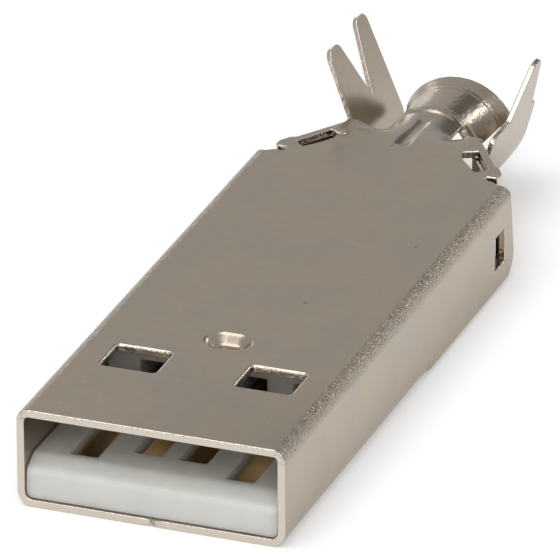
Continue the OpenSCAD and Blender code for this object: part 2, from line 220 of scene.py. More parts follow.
def foldSheet(name, corners, holes, fold, values, linesS, linesY, patches=(), edgeAt=None):
    # Cuts a flat blank, rounds its edges and folds it. fold(s, y, zoneS, zoneY) gives the outer face,
    # and the thickness goes against that face's normal.
    thick, edge, back = values["sheet"], values["edge"], values["backEdge"]
    loops = []
    for i, outline in enumerate([corners] + holes):
        loop = splitLoop(roundCorners(outline), linesS, linesY)
        loops.append(loop[::-1] if (area(loop) > 0) == (i > 0) else loop)
    sides = [outwards(loop) for loop in loops]
    edges = [edgeAt(loop[:, 0], loop[:, 1]) if edgeAt else np.full(len(loop), edge) for loop in loops]
    faceLoops = [loop - side * (reach * e)[:, None] for loop, (side, reach), e in zip(loops, sides, edges)]
    inner = gridPoints(linesS, linesY, list(patches))
    inner = inner[isInside(inner, faceLoops)]
    inner = inner[isClear(inner, faceLoops, blank["edgeGap"])]
    flat, tris, newIndex = makeTriangles(np.concatenate(faceLoops + [inner]), faceLoops)

    def placed(at, zone):
        h = blank["probe"]
        s, y = at[:, 0], at[:, 1]
        zs, zy = zone[:, 0], zone[:, 1]
        alongS = fold(s + h, y, zs, zy) - fold(s - h, y, zs, zy)
        alongY = fold(s, y + h, zs, zy) - fold(s, y - h, zs, zy)
        normal = np.cross(alongS, alongY)
        normal /= np.maximum(np.linalg.norm(normal, axis=1), 1e-12)[:, None]
        return fold(s, y, zs, zy), alongS, alongY, normal

    order = np.unique(tris)
    used = np.full(len(flat), -1)
    used[order] = np.arange(len(order))
    front = flat[order]
    behind = front.copy()
    start = 0
    for loop, (side, reach) in zip(loops, sides):     # the back face has its own edge radius
        for i in range(len(loop)):
            k = used[newIndex[start + i]]
            if k >= 0:
                behind[k] = loop[i] - side[i] * reach[i] * back
        start += len(loop)
    base, _, _, normal = placed(front, front)
    base2, _, _, normal2 = placed(behind, front)
    points, normals = [base, base2 - normal2 * thick], [normal, -normal2]
    cut = [np.zeros(2 * len(order))]
    backStart = len(order)
    faces = [tuple(t) for t in used[tris]] + [tuple(t[::-1]) for t in used[tris] + backStart]

    count, start = 2 * len(order), 0
    for loop, (side, reach), e in zip(loops, sides, edges):
        n = len(loop)
        ringStarts = []
        for k, angle in enumerate(blank["rimAngles"]):     # three rings on each face's side
            c, s = math.cos(math.radians(angle)), math.sin(math.radians(angle))
            onFace = k < 3
            inset = e * (1 - c) if onFace else np.full(n, back * (1 - c))
            depth = e * (1 - s) if onFace else np.full(n, thick - back * (1 + s))
            at = loop - side * (reach * inset)[:, None]
            base, alongS, alongY, normal = placed(at, loop - side * blank["zoneInset"])
            across = alongS * side[:, :1] + alongY * side[:, 1:]
            across -= normal * (across * normal).sum(1)[:, None]
            across /= np.maximum(np.linalg.norm(across, axis=1), 1e-12)[:, None]
            points.append(base - normal * depth[:, None])
            normals.append(across * c + normal * s)
            cut.append(np.full(n, 1.0 if c > 0.8 else 0.6))
            ringStarts.append(count)
            count += n
        for i in range(n):
            j = (i + 1) % n
            ladder = [(used[newIndex[start + i]], used[newIndex[start + j]])]
            ladder += [(r + i, r + j) for r in ringStarts]
            ladder.append((ladder[0][0] + backStart, ladder[0][1] + backStart))
            for (a, b), (c, d) in zip(ladder, ladder[1:]):
                faces.append((b, a, c, d))
        start += n
    return makeObject(name, np.concatenate(points), faces, np.concatenate(normals), np.concatenate(cut))


def smooth(t):
    t = np.clip(t, 0, 1)
    return t * t * (3 - 2 * t)


def bendOver(run, radius, angle=quarter):
    # how far a strip reaches ahead and how far it drops, this run past the start of its bend
    turned = np.clip(run / radius, 0, angle)
    past = np.maximum(run - radius * angle, 0)
    reach = radius * np.sin(turned) + past * math.cos(angle)
    drop = radius * (1 - np.cos(turned)) + past * math.sin(angle)
    return reach, drop


def bell(s, y, spot):
    # round swelling given as middle, radius and height
    return spot["high"] * np.exp(-((s - spot["s"]) ** 2 + (y - spot["y"]) ** 2) / spot["r"] ** 2)


# Outer shell: tube, channel, tapered plate, neck and collar from one blank.
# s is the way around the shell from the middle of its top.
shell = {
    "width": 12.0, "height": 4.5, "sheet": 0.35, "tube": 17.3, "edge": 0.07, "backEdge": 0.05,
    "topBend": 0.55, "lowBend": 0.7, "seam": 0.06, "seamEdge": 0.16, "opens": 0.4,
    "holeW": 2.5, "holeL": 2.1, "holeX": 3.04, "holeY": 6.25, "holeR": 0.17, "holeEdge": 0.13,
    "stopW": 2.2, "stopL": 1.7, "stopY": 9.15, "stopDepth": 0.46, "stopFlat": 0.30, "stopSlope": 0.58,
    "wallLift": 0.22, "wallEndLow": 28.65, "wallEndTop": 28.12, "wallBow": 1.0, "wallBowTop": 0.45,
    "tongueY": 25.95, "tongueZ": -0.28, "windowL": 1.45, "windowH": 1.55, "tongueAngle": 24,
    "tongueBend": 0.3, "tongueCut": 0.08, "tongueGap": 0.22, "windowR": 0.12, "cutR": 0.03,
    "earX": 5.24, "earY": 28.58, "slit": 0.4, "slitL": 0.59, "slitR": 0.1, "earR": 0.6,
    "taperY": 29.1, "endY": 32.35, "endX": 3.13,
    "flangeBend": 0.28, "flangeS0": 1.0, "flangeS1": 3.45, "flangeBlank": 1.7,
    "plateWindow": ((2.55, 0.46), (0.61, 0.51), (0.43, 1.14), (1.88, 1.33), (2.66, 1.2)),
    "plateWindowR": 0.08,
    "neckX": 1.5, "neckR": 2.9, "neckDrop": 0.12,
    "archY": 31.1, "archL": 2.3, "archFull": 33.3, "archX": 1.45, "archFade": 1.3,
    "grooveX": 0.48, "grooveDepth": 0.13,
    "grooveY0": 30.2, "grooveY1": 34.0, "grooveIn": 0.5, "grooveOut": 0.6,
    "dent": {"s": -3.0, "y": 30.75, "r": 0.22, "high": -0.14},
    "lip": {"s": -3.0, "y": 30.15, "r": 0.42, "high": 0.05},
    "collarY": 34.5, "creaseY": 37.28, "rimY": 38.24, "mouthY": 38.3,
    "collarR": (2.01, 2.34, 2.775), "collarZ": (0.24, -0.24, -0.495), "collarEdge": (2.926, 2.954, 3.36),
    "stepY": 34.28, "stepL": 0.3, "beadY": 34.78, "beadW": 0.16, "bead": 0.045,
    "ridgeW": 0.09, "ridge": 0.03,
}
top = shell["height"] / 2
side = shell["width"] / 2
bendStart = side - shell["topBend"]
sideStart = bendStart + shell["topBend"] * quarter
lowStart = sideStart + shell["height"] - shell["topBend"] - shell["lowBend"]
bottomStart = lowStart + shell["lowBend"] * quarter
seamAt = bottomStart + side - shell["lowBend"] - shell["seam"] / 2
wallLow = sideStart + shell["height"] - shell["topBend"] - shell["wallLift"]
tongueS = sideStart + top - shell["topBend"] - shell["tongueZ"]
taperStart = np.array([shell["earX"], shell["taperY"]])
taperDir = np.array([shell["endX"], shell["endY"]]) - taperStart
taperDir /= np.linalg.norm(taperDir)
taperIn = np.array([-taperDir[1], taperDir[0]])
plateStart = 28.9     # everything behind this in the blank belongs to the rear plate


def alongTaper(station, depth, radius=0.0):
    # blank place given along the plate's tapered edge and inwards from it
    p = taperStart + taperDir * station + taperIn * depth
    return (float(p[0]), float(p[1]), radius)


def taperPlace(a, y):
    # station along the tapered edge, and the distance outwards from it
    station = (a - taperStart[0]) * taperDir[0] + (y - taperStart[1]) * taperDir[1]
    out = -((a - taperStart[0]) * taperIn[0] + (y - taperStart[1]) * taperIn[1])
    return station, out


def archAt(y):
    # radius and height of the arch's centre, from the neck to the flared rim
    neckR = shell["neckR"]
    neckZ = top - shell["neckDrop"] - neckR
    places = [shell["collarY"], shell["creaseY"], shell["mouthY"]]
    r, z = np.interp(y, places, shell["collarR"]), np.interp(y, places, shell["collarZ"])
    r = r + shell["ridge"] * np.exp(-((y - shell["creaseY"]) / shell["ridgeW"]) ** 2)
    step = smooth((y - shell["stepY"]) / shell["stepL"])
    bead = shell["bead"] * np.exp(-((y - shell["beadY"]) / shell["beadW"]) ** 2)
    return neckR + (r - neckR) * step + bead, neckZ + (z - neckZ) * step


def foldTube(a, y):
    # the closed tube, whose lower bend opens out behind it into straight channel walls
    reach, drop = bendOver(np.minimum(a, lowStart) - bendStart, shell["topBend"])
    down, inwards = bendOver(a - lowStart, shell["lowBend"])
    x = np.minimum(a, bendStart) + reach - inwards
    z = top - drop - down
    opened = smooth((y - shell["tube"]) / shell["opens"]) * (a > lowStart)
    x = x + (side - x) * opened
    z = z + (top - shell["topBend"] - (a - sideStart) - z) * opened
    return x, z


def foldPlate(s, a, y):
    # the rear plate with its flanges, the arched neck and the collar
    station, out = taperPlace(a, y)
    run = np.maximum(out + shell["flangeBend"], 0)
    reach, drop = bendOver(run, shell["flangeBend"])
    folded = smooth((station - 0.6 * shell["flangeS0"]) / 0.4)
    folded = folded * (1 - smooth((station - shell["flangeS1"] - 0.05) / 0.3))
    x = a + (reach - run) * folded * -taperIn[0]
    yy = y + (reach - run) * folded * -taperIn[1]
    z = top - drop * folded
    r, middle = archAt(y)
    spread = 1 - smooth((a - shell["archX"]) / shell["archFade"])
    arched = smooth((y - shell["archY"]) / shell["archL"]) * np.where(y > shell["archFull"], 1, spread)
    x = x + (r * np.sin(a / r) - x) * arched
    z = z + (middle + r * np.cos(a / r) - z) * arched
    groove = 0.5 + 0.5 * np.cos(math.pi * np.clip(a / shell["grooveX"], 0, 1))
    groove = groove * smooth((y - shell["grooveY0"]) / shell["grooveIn"])
    groove = groove * (1 - smooth((y - shell["grooveY1"] + 0.5) / shell["grooveOut"]))
    z = z - shell["grooveDepth"] * groove + bell(s, y, shell["dent"]) + bell(s, y, shell["lip"])
    return x, yy, z


def foldShell(s, y, zoneS, zoneY):
    a = np.abs(s)
    x, z = foldTube(a, y)
    yy = y
    # side tongues bent inwards
    reach, shift = bendOver(y - shell["tongueY"], shell["tongueBend"], math.radians(shell["tongueAngle"]))
    onTongue = np.abs(np.abs(zoneS) - tongueS) < shell["windowH"] / 2 - 0.035
    onTongue &= (zoneY > shell["tongueY"] - 0.01) & (zoneY < shell["tongueY"] + shell["windowL"] - 0.12)
    x = np.where(onTongue, x - shift, x)
    yy = np.where(onTongue, np.minimum(y, shell["tongueY"]) + reach, yy)
    rear = zoneY > plateStart
    px, py, pz = foldPlate(s, a, y)
    x, yy, z = np.where(rear, px, x), np.where(rear, py, yy), np.where(rear, pz, z)
    # the pressed stop
    d = np.hypot(np.maximum(a - (shell["stopW"] - shell["stopL"]) / 2, 0), y - shell["stopY"])
    near = np.abs(y - shell["stopY"]) < 2
    z = z - shell["stopDepth"] * (1 - smooth((d - shell["stopFlat"]) / shell["stopSlope"])) * near
    return np.stack([x * np.where(s < 0, -1.0, 1.0), yy, z], 1)


def shellOutline():
    r, slitY, slitX = shell["slitR"], shell["earY"] - shell["slit"], shell["earX"] - shell["slitL"]
    s0, s1, leg = shell["flangeS0"], shell["flangeS1"], -shell["flangeBlank"]
    collarS, creaseS, rimS = shell["collarEdge"]
    half = [
        (seamAt, 0), (seamAt, shell["tube"], r), (wallLow, shell["tube"], 0.12),
        (wallLow, shell["wallEndLow"], shell["wallBow"]),
        (sideStart - 0.2, shell["wallEndTop"], shell["wallBowTop"]),
        (bendStart, 27.92, 0.2), (shell["earX"] - 0.14, slitY, r), (slitX, slitY, r),
        (slitX, shell["earY"], r), (shell["earX"], shell["earY"], 0.2), alongTaper(0, 0, shell["earR"]),
        alongTaper(s0, 0, 0.08), alongTaper(s0, leg, 0.2), alongTaper(s1, leg, 0.3), alongTaper(s1, 0, 0.1),
        (shell["endX"], shell["endY"], 0.25), (shell["neckX"], shell["endY"], 0.3), (1.575, 33.4),
        (1.6, shell["collarY"], 0.15), (collarS, shell["collarY"], 0.25), (creaseS, shell["creaseY"]),
        (rimS, shell["rimY"], 0.5),
    ]
    return half + [(-c[0],) + tuple(c[1:]) for c in reversed(half)]


def shellHoles(sign):
    # latch holes above and below, the plate's window, and the cut around a side tongue
    holes = []
    hw, hl = shell["holeW"] / 2, shell["holeL"] / 2
    for s in (shell["holeX"], bottomStart + side - shell["lowBend"] - shell["holeX"]):
        square = ((-1, -1), (1, -1), (1, 1), (-1, 1))
        holes.append([(sign * s + u * hw, shell["holeY"] + v * hl, shell["holeR"]) for u, v in square])
    window = [alongTaper(station, depth, shell["plateWindowR"]) for station, depth in shell["plateWindow"]]
    holes.append([(sign * s, y, r) for s, y, r in window])
    w, t = shell["windowH"] / 2, shell["windowH"] / 2 - shell["tongueCut"]
    y0 = shell["tongueY"]
    y1 = y0 + shell["windowL"]
    y2 = y1 - shell["tongueGap"]
    sharp, soft, tip = shell["cutR"], shell["windowR"], 0.08
    cut = ((-w, y0, sharp), (-w, y1, soft), (w, y1, soft), (w, y0, sharp),
           (t, y0, sharp), (t, y2, tip), (-t, y2, tip), (-t, y0, sharp))
    holes.append([(sign * (tongueS + u), v, r) for u, v, r in cut])
    return holes


def shellEdge(s, y):
    # the seam and the latch holes have wider rounded edges
    a = np.abs(s)
    atSeam = (a > seamAt - 0.2) & (y < shell["tube"] - 0.3)
    atHole = (np.abs(y - shell["holeY"]) < 1.2) & (np.abs(a - shell["holeX"]) < 1.4)
    return np.where(atSeam, shell["seamEdge"], np.where(atHole, shell["holeEdge"], shell["edge"]))


def foldRows(rows, depth, bend, stations):
    # rows of points that follow the tapered edge through a bend, on both sides
    patches = []
    for k in range(rows):
        level = depth + bend * (1 - quarter * k / (rows - 1))
        places = [alongTaper(station, level) for station in stations]
        for sign in (-1, 1):
            patches += [([sign * s], [y]) for s, y, _ in places]
    return patches


def buildShell():
    linesS = gridLines((0, bendStart, 0.55), (bendStart, sideStart, 0.09), (sideStart, lowStart, 0.55),
                       (lowStart, bottomStart, 0.14), (bottomStart, seamAt, 0.7))
    linesY = gridLines((0, 28, 0.8), (17.0, 17.8, 0.1), (28, 38.2, 0.5))
    collarY = gridLines((34.2, 35.2, 0.045), (35.2, 37.0, 0.15), (37.0, 37.6, 0.06), (37.6, 38.2, 0.1))
    tongueY = gridLines((25.9, 26.2, 0.03), (26.2, 27.2, 0.3))
    patches = [
        (mirrored(gridLines((0, 1.4, 0.075))), gridLines((8.0, 10.3, 0.075))),
        (mirrored(gridLines((0, 0.56, 0.07), (0.7, 3.2, 0.16))), gridLines((29.9, 34.2, 0.14))),
        (gridLines((-3.9, -2.2, 0.1)), gridLines((29.2, 31.4, 0.1))),
        (mirrored(gridLines((0, 3.5, 0.13))), collarY),
        (mirrored(gridLines((tongueS - 0.7, tongueS + 0.7, 0.2))), tongueY),
    ]
    patches += foldRows(8, 0.0, shell["flangeBend"], np.arange(0.1, 3.8, 0.15))
    return foldSheet("outer_shell_sheet", shellOutline(), shellHoles(-1) + shellHoles(1), foldShell, shell,
                     mirrored(linesS), linesY, patches, shellEdge)


# Clamp tray: floor, side walls, slanted walls, round trough and two leaning wings from one blank.
# s is the way across the tray from the middle of its floor.
tray = {
    "sheet": 0.25, "edge": 0.055, "backEdge": 0.045, "floorZ": -1.9, "innerX": 5.37, "bend": 0.18,
    "frontY": 17.34, "wallFront": 17.84, "wallRear": 28.2, "wallTop": 1.05, "apart": 2.0,
    "slantDepth": 0.63, "slantFront": 0.1, "slantRear": 3.16, "slantTop": 1.84,
    "troughR": 2.7, "troughFlat": 0.25, "troughZ": 0.8, "troughX": 2.98, "troughRear": 37.5,
    "formY": 31.75, "formL": 0.7, "stretchY0": 31.6, "stretchY1": 34.1,
    "forkLean": 20, "forkY0": 33.6, "forkY1": 38.75, "forkTipFront": 4.9, "forkTipRear": 5.02,
    "forkNotch": 1.78, "forkTipW": 1.15, "forkTipR": 0.5, "forkSetback": 0.45,
    "prongLean": 16, "prongY0": 32.5, "prongY1": 38.4, "prongFoot": 34.55, "prongRear": 37.7,
    "prongTip": 4.55, "prongTipUp": 1.9, "prongTipW": 0.95, "prongTipR": 0.42,
    "shoulderFront": 2.2, "shoulderRear": 1.75, "openingGap": 0.1, "openingRear": 0.4,
}
floorBend = tray["innerX"] - tray["bend"]
wallFoot = floorBend + tray["bend"] * quarter
wallTop = wallFoot + tray["wallTop"] - tray["floorZ"] - tray["bend"]


def wingPlace(lean, slant):
    # blank place of a height measured up the leaning wing
    angle, lean = math.radians(90 - lean), math.radians(lean)
    z = tray["troughZ"] - tray["troughR"] * math.cos(angle)
    startSlant = (z - tray["sheet"] * math.sin(lean)) / math.cos(lean)
    return tray["troughFlat"] + tray["troughR"] * angle + slant - startSlant


def foldTray(s, y, zoneS, zoneY):
    a = np.abs(s)
    bend = tray["bend"]
    reach, rise = bendOver(a - floorBend, bend)
    x, yy, z = np.minimum(a, floorBend) + reach, y, tray["floorZ"] + rise
    # slanted walls under the tapered plate
    station, _ = taperPlace(np.abs(zoneS), zoneY)
    onWall = (station < tray["slantRear"] + 0.09) & (zoneY < 34.0)
    _, out = taperPlace(a, y)
    run = np.where(onWall, np.maximum(out + tray["slantDepth"] + bend, 0), 0)
    reach, rise = bendOver(run, bend)
    # behind the walls the blank is longer than the tray, so that walls and wings lie apart in it
    y0, y1 = tray["stretchY0"], tray["stretchY1"]
    behind = np.where(y < y1, y0 + (y - y0) * (1 - tray["apart"] / (y1 - y0)), y - tray["apart"])
    y = np.where(onWall | (y < y0), y, behind)
    rx = a + (reach - run) * -taperIn[0]
    ry = y + (reach - run) * -taperIn[1]
    rz = tray["floorZ"] + rise
    # trough and wings
    formed = smooth((ry - tray["formY"]) / tray["formL"])
    lean = np.where(s < 0, tray["forkLean"], tray["prongLean"])
    for angle in (tray["forkLean"], tray["prongLean"]):
        reach, rise = bendOver(a - tray["troughFlat"], tray["troughR"], math.radians(90 - angle))
        share = formed * (lean == angle)
        rx = rx + (np.minimum(a, tray["troughFlat"]) + reach - rx) * share
        rz = rz + (tray["troughZ"] - tray["troughR"] + rise - rz) * share
    ry = ry + (y - ry) * formed
    rear = zoneY > 28.5
    x, yy, z = np.where(rear, rx, x), np.where(rear, ry, yy), np.where(rear, rz, z)
    return np.stack([x * np.where(s < 0, -1.0, 1.0), yy, z], 1)


def trayWalls():
    edge = tray["innerX"] - 0.02
    tall = tray["slantTop"] - tray["floorZ"] - tray["bend"] + tray["bend"] * (quarter - 1)
    front, rear, foot = tray["slantFront"], tray["slantRear"], tray["slantDepth"]
    blankTop = foot - tall
    return [
        (edge, tray["frontY"], 0.15), (edge, tray["wallFront"], 0.1), (wallTop, tray["wallFront"], 0.4),
        (wallTop, tray["wallRear"], 0.4), (edge, tray["wallRear"], 0.1),
        alongTaper(front, foot, 0.1), alongTaper(front, blankTop, 0.2),
        alongTaper(rear, blankTop, 0.2), alongTaper(rear, foot, 0.1),
    ]


def prongOutline():
    # the single wing on the right, from its front foot to the middle of the trough's rear edge
    def at(slant):
        return wingPlace(tray["prongLean"], slant)

    tipR = tray["prongTipR"]
    tipY = tray["prongFoot"] + tray["prongTipUp"] - tray["prongTipW"] / 2
    return [
        (tray["troughX"], 32.2, 0.2), (tray["troughX"], tray["prongY0"], 0.1),
        (at(tray["shoulderFront"]), tray["prongY0"], 0.3),
        (at(tray["shoulderFront"]), tray["prongFoot"], 0.15),
        (at(tray["prongTip"]), tipY, tipR), (at(tray["prongTip"]), tipY + tray["prongTipW"], tipR),
        (at(tray["shoulderRear"] + 0.4), tray["prongRear"]),
        (at(tray["shoulderRear"]), tray["prongRear"], 0.1),
        (at(tray["shoulderRear"]), tray["prongY1"], 0.35), (at(0.0), tray["prongY1"], 0.3),
        (1.6, tray["troughRear"], 0.6),
    ]


def forkOutline():
    # the forked wing on the left, from the trough's rear edge to its front foot
    def at(slant):
        return -wingPlace(tray["forkLean"], slant)

    middle = (tray["forkY0"] + tray["forkY1"]) / 2
    tipY, tipR = tray["forkY1"] - tray["forkSetback"], tray["forkTipR"]
    return [
        (-1.6, tray["troughRear"], 0.6), (at(0.0), tray["forkY1"] - 0.02, 0.3),
        (at(tray["forkTipRear"]), tipY, tipR), (at(tray["forkTipRear"]), tipY - tray["forkTipW"], tipR),
        (at(tray["forkNotch"]), middle + 0.16, 0.08), (at(tray["forkNotch"]), middle + 0.08, 0.08),
        (at(tray["forkTipFront"]), tray["forkY0"] + tray["forkTipW"] + 0.05, tipR),
        (at(tray["forkTipFront"]), tray["forkY0"], tipR), (at(0.0) - 0.1, tray["forkY0"], 0.3),
        (at(-0.35), 33.3, 0.2), (at(-0.35), 32.5, 0.1), (-tray["troughX"], 32.2, 0.2),
    ]


def buildTray():
    right = trayWalls()
    left = [(-s, y, r) for s, y, r in reversed(right)]
    wings = [(c[0], c[1] + tray["apart"]) + tuple(c[2:]) for c in prongOutline() + forkOutline()]
    gap = tray["openingGap"]
    y0, y1 = shell["tongueY"] - gap, shell["tongueY"] + shell["windowL"] + tray["openingRear"]
    low = wallFoot + shell["tongueZ"] - shell["windowH"] / 2 - gap - tray["floorZ"] - tray["bend"]
    high = low + shell["windowH"] + 2 * gap
    square = ((low, y0), (high, y0), (high, y1), (low, y1))
    holes = [[(sign * s, y, 0.1) for s, y in square] for sign in (-1, 1)]
    linesS = gridLines((0, floorBend, 0.5), (floorBend, floorBend + 0.29, 0.05), (floorBend + 0.3, 10, 0.4))
    linesY = gridLines((17.4, 31.4, 0.6), (31.6, 34.1, 0.5), (34.4, 40.7, 0.4))
    troughY = gridLines((31.7, 34.1, 0.25), (34.1, 34.9, 0.1), (35.0, 40.6, 0.4))
    patches = [
        (mirrored(gridLines((0, 4.2, 0.16))), troughY),
        (mirrored(gridLines((4.0, 10, 0.35))), gridLines((34.6, 40.6, 0.3))),
    ]
    patches += foldRows(7, tray["slantDepth"], tray["bend"], np.arange(0.15, 3.3, 0.15))
    return foldSheet("clamp_tray_sheet", right + wings + left, holes, foldTray, tray,
                     mirrored(linesS), linesY, patches)


# Contacts: four strips with a dipped tip and a narrower solder tail.
contacts = {
    "width": 1.0, "tailWidth": 0.8, "sheet": 0.25, "edge": 0.05, "backEdge": 0.03, "topZ": -0.42,
    "bladeEnd": 16.1, "tailEnd": 20.5, "tipDrop": 0.26, "tipL": 0.5, "sag": 0.03, "sagY": 4.0, "sagL": 1.6,
    "places": {"contact_vbus": (3.5, 1.4), "contact_dminus": (1.0, 2.4),
               "contact_dplus": (-1.0, 2.4), "contact_gnd": (-3.5, 1.4)},
}


def buildContact(node, x0, y0):
    def foldStrip(s, y, zoneS, zoneY):
        dip = contacts["tipDrop"] * (1 - smooth((y - y0 + 0.02) / contacts["tipL"])) ** 2
        sag = contacts["sag"] * np.exp(-((y - y0 - contacts["sagY"]) / contacts["sagL"]) ** 2)
        return np.stack([x0 + s, y, contacts["topZ"] - dip - sag], 1)

    w, t = contacts["width"] / 2, contacts["tailWidth"] / 2
    bladeEnd, tailEnd = contacts["bladeEnd"], contacts["tailEnd"]
    half = [(w, y0, 0.2), (w, bladeEnd, 0.05), (t, bladeEnd + 0.05, 0.05), (t, tailEnd, 0.15)]
    corners = half + [(-s, y, r) for s, y, r in reversed(half)]
    linesS = gridLines((-0.4, 0.4, 0.2))
    linesY = gridLines((y0, y0 + 0.7, 0.06), (y0 + 0.8, 9, 0.4), (9, tailEnd, 1.0))
    return foldSheet(node + "_strip", corners, [], foldStrip, contacts, linesS, linesY)


# Insulator: the moulding's solid with softened edges around its slots and block.
insulator = {"edge": 0.06, "segments": 3, "bevelAbove": -1.2, "cornerAngle": 35, "flatAngle": 2, "weld": 2e-6}


def buildInsulator():
    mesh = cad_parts["insulator"].data.copy()
    mesh.name = "insulator_moulding"
    for name in [a.name for a in mesh.attributes if a.name == "custom_normal"]:
        mesh.attributes.remove(mesh.attributes[name])
    bm = bmesh.new()
    bm.from_mesh(mesh)
    bmesh.ops.remove_doubles(bm, verts=bm.verts, dist=insulator["weld"])
    flat = math.radians(insulator["flatAngle"])
    bmesh.ops.dissolve_limit(bm, angle_limit=flat, verts=bm.verts, edges=bm.edges, delimit=set())
    weight = bm.edges.layers.float.new("bevel_weight_edge")
    for e in bm.edges:
        corner = len(e.link_faces) == 2 and e.calc_face_angle(0) > math.radians(insulator["cornerAngle"])
        high = min(v.co.z for v in e.verts) > insulator["bevelAbove"] * mm
        e[weight] = 1.0 if corner and high else 0.0
        e.smooth = not corner or high
    bm.to_mesh(mesh)
    bm.free()
    thing = bpy.data.objects.new("insulator_moulding", mesh)
    scene.collection.objects.link(thing)
    bevel = thing.modifiers.new("softEdges", "BEVEL")
    bevel.limit_method = "WEIGHT"
    bevel.width, bevel.segments = insulator["edge"] * mm, insulator["segments"]
    bevel.use_clamp_overlap = False
    bevel.miter_outer = "MITER_ARC"
    even = thing.modifiers.new("evenShading", "WEIGHTED_NORMAL")
    even.keep_sharp, even.weight = True, 60
    return thing


class Wire:
    def __init__(self, board, socket):
        self.board, self.socket = board, socket

    def sum(self, kind, other, swap=False):
        first, second = (other, self) if swap else (self, other)
        return self.board.node("ShaderNodeMath", {"operation": kind}, {0: first, 1: second})

    def __add__(self, other):
        return self.sum("ADD", other)

    def __radd__(self, other):
        return self.sum("ADD", other, True)

    def __sub__(self, other):
        return self.sum("SUBTRACT", other)

    def __rsub__(self, other):
        return self.sum("SUBTRACT", other, True)

    def __mul__(self, other):
        return self.sum("MULTIPLY", other)

    def __rmul__(self, other):
        return self.sum("MULTIPLY", other, True)

    def __abs__(self):
        return self.board.node("ShaderNodeMath", {"operation": "ABSOLUTE"}, {0: self})

    def __getitem__(self, name):
        return Wire(self.board, self.socket.node.outputs[name])


class Board:
    def __init__(self, owner):
        self.owner = owner
        owner.use_nodes = True
        self.tree = owner.node_tree
        self.tree.nodes.clear()

    def put(self, socket, value):
        if isinstance(value, Wire):
            self.tree.links.new(value.socket, socket)
        else:
            socket.default_value = value

    def node(self, kind, settings=None, inputs=None, out=0):
        made = self.tree.nodes.new(kind)
        for key, value in (settings or {}).items():
            setattr(made, key, value)
        for key, value in (inputs or {}).items():
            self.put(made.inputs[key], value)
        return Wire(self, made.outputs[out] if len(made.outputs) else None)

    def place(self):
        # place on the part in millimetres
        where = self.node("ShaderNodeTexCoord", out="Object")
        return self.node("ShaderNodeVectorMath", {"operation": "SCALE"}, {0: where, "Scale": 1000.0})

    def parts(self, vector):
        split = self.node("ShaderNodeSeparateXYZ", None, {0: vector})
        return split["X"], split["Y"], split["Z"]

    def stretch(self, vector, x, y, z):
        return self.node("ShaderNodeVectorMath", {"operation": "MULTIPLY"}, {0: vector, 1: (x, y, z)})

    def distance(self, vector, point):
        settings = {"operation": "DISTANCE"}
        return self.node("ShaderNodeVectorMath", settings, {0: vector, 1: point}, out="Value")

    def noise(self, vector, scale, detail=3.0, rough=0.5):
        inputs = {"Vector": vector, "Scale": scale, "Detail": detail, "Roughness": rough}
        return self.node("ShaderNodeTexNoise", None, inputs)

    def step(self, value, low, high, first=0.0, last=1.0):
        inputs = {"Value": value, "From Min": low, "From Max": high, "To Min": first, "To Max": last}
        return self.node("ShaderNodeMapRange", {"interpolation_type": "SMOOTHSTEP"}, inputs)

    def mix(self, factor, a, b, kind="MIX"):
        settings = {"data_type": "RGBA", "blend_type": kind}
        made = self.node("ShaderNodeMix", settings, {"Factor": factor}, out=2)
        sockets = [i for i in made.socket.node.inputs if i.type == "RGBA"]
        for socket, value in zip(sockets, (a, b)):
            self.put(socket, value if isinstance(value, Wire) else (*value, 1))
        return made

    def bump(self, height, distance=0.00002):
        return self.node("ShaderNodeBump", None, {"Height": height, "Strength": 1.0, "Distance": distance})

    def finish(self, inputs):
        shader = self.node("ShaderNodeBsdfPrincipled", None, inputs)
        self.node("ShaderNodeOutputMaterial", None, {"Surface": shader})
        return self.owner


# Finishes. Marks are small dark spots on the shell: place, radius and depth.
finishes = {
    "nickel": (0.49, 0.412, 0.322), "nickelCool": (0.465, 0.40, 0.328), "nickelEdge": (0.66, 0.60, 0.52),
    "plastic": (0.66, 0.655, 0.62), "plasticDeep": (0.627, 0.62225, 0.589),
    "gold": (0.52, 0.345, 0.15), "goldWorn": (0.46, 0.30, 0.13), "nickelRough": 0.25,
    "marks": [((1.75, 13.74, 2.25), 0.11, 0.45), ((4.27, 20.65, 2.25), 0.10, 0.4),
              ((-1.81, 31.96, 2.2), 0.16, 0.5), ((-0.34, 30.2, 2.2), 0.12, 0.35)],
}


